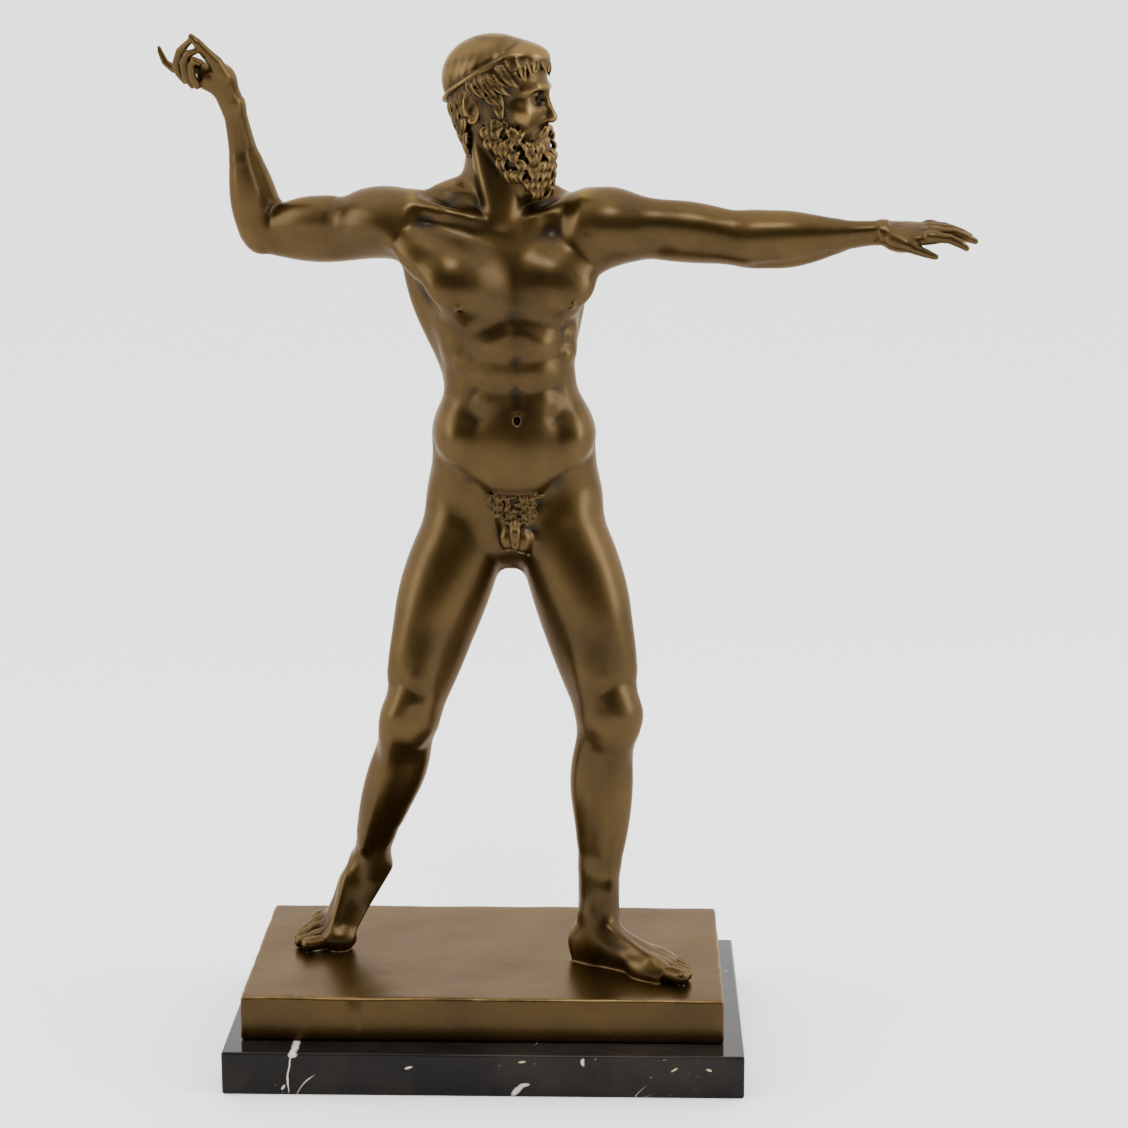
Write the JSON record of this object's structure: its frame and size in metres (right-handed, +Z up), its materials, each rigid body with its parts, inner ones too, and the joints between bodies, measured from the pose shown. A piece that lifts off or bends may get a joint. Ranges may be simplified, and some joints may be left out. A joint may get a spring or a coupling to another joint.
{
  "type": "bronze statuette of a striding bearded god on a marble plinth",
  "caption": "Bronze statuette of a nude bearded god striding with one arm raised and the other stretched out, on a bronze slab and black marble plinth.",
  "frame": {"origin": "centre of the marble plinth's underside", "axes": "+Z up; +X towards the figure's outstretched arm, along the plinth's long side; -Y towards the front, where the figure's chest faces"},
  "size_m": [0.402, 0.168, 0.5173],
  "materials": {
    "patinated_bronze": "cast bronze with a smooth brown and olive patina, semi-gloss",
    "black_marble": "polished black marble with a few pale veins"
  },
  "bodies": {
    "root": {"bronze_figure": "patinated_bronze", "marble_plinth": "black_marble"}
  },
  "joints": []
}
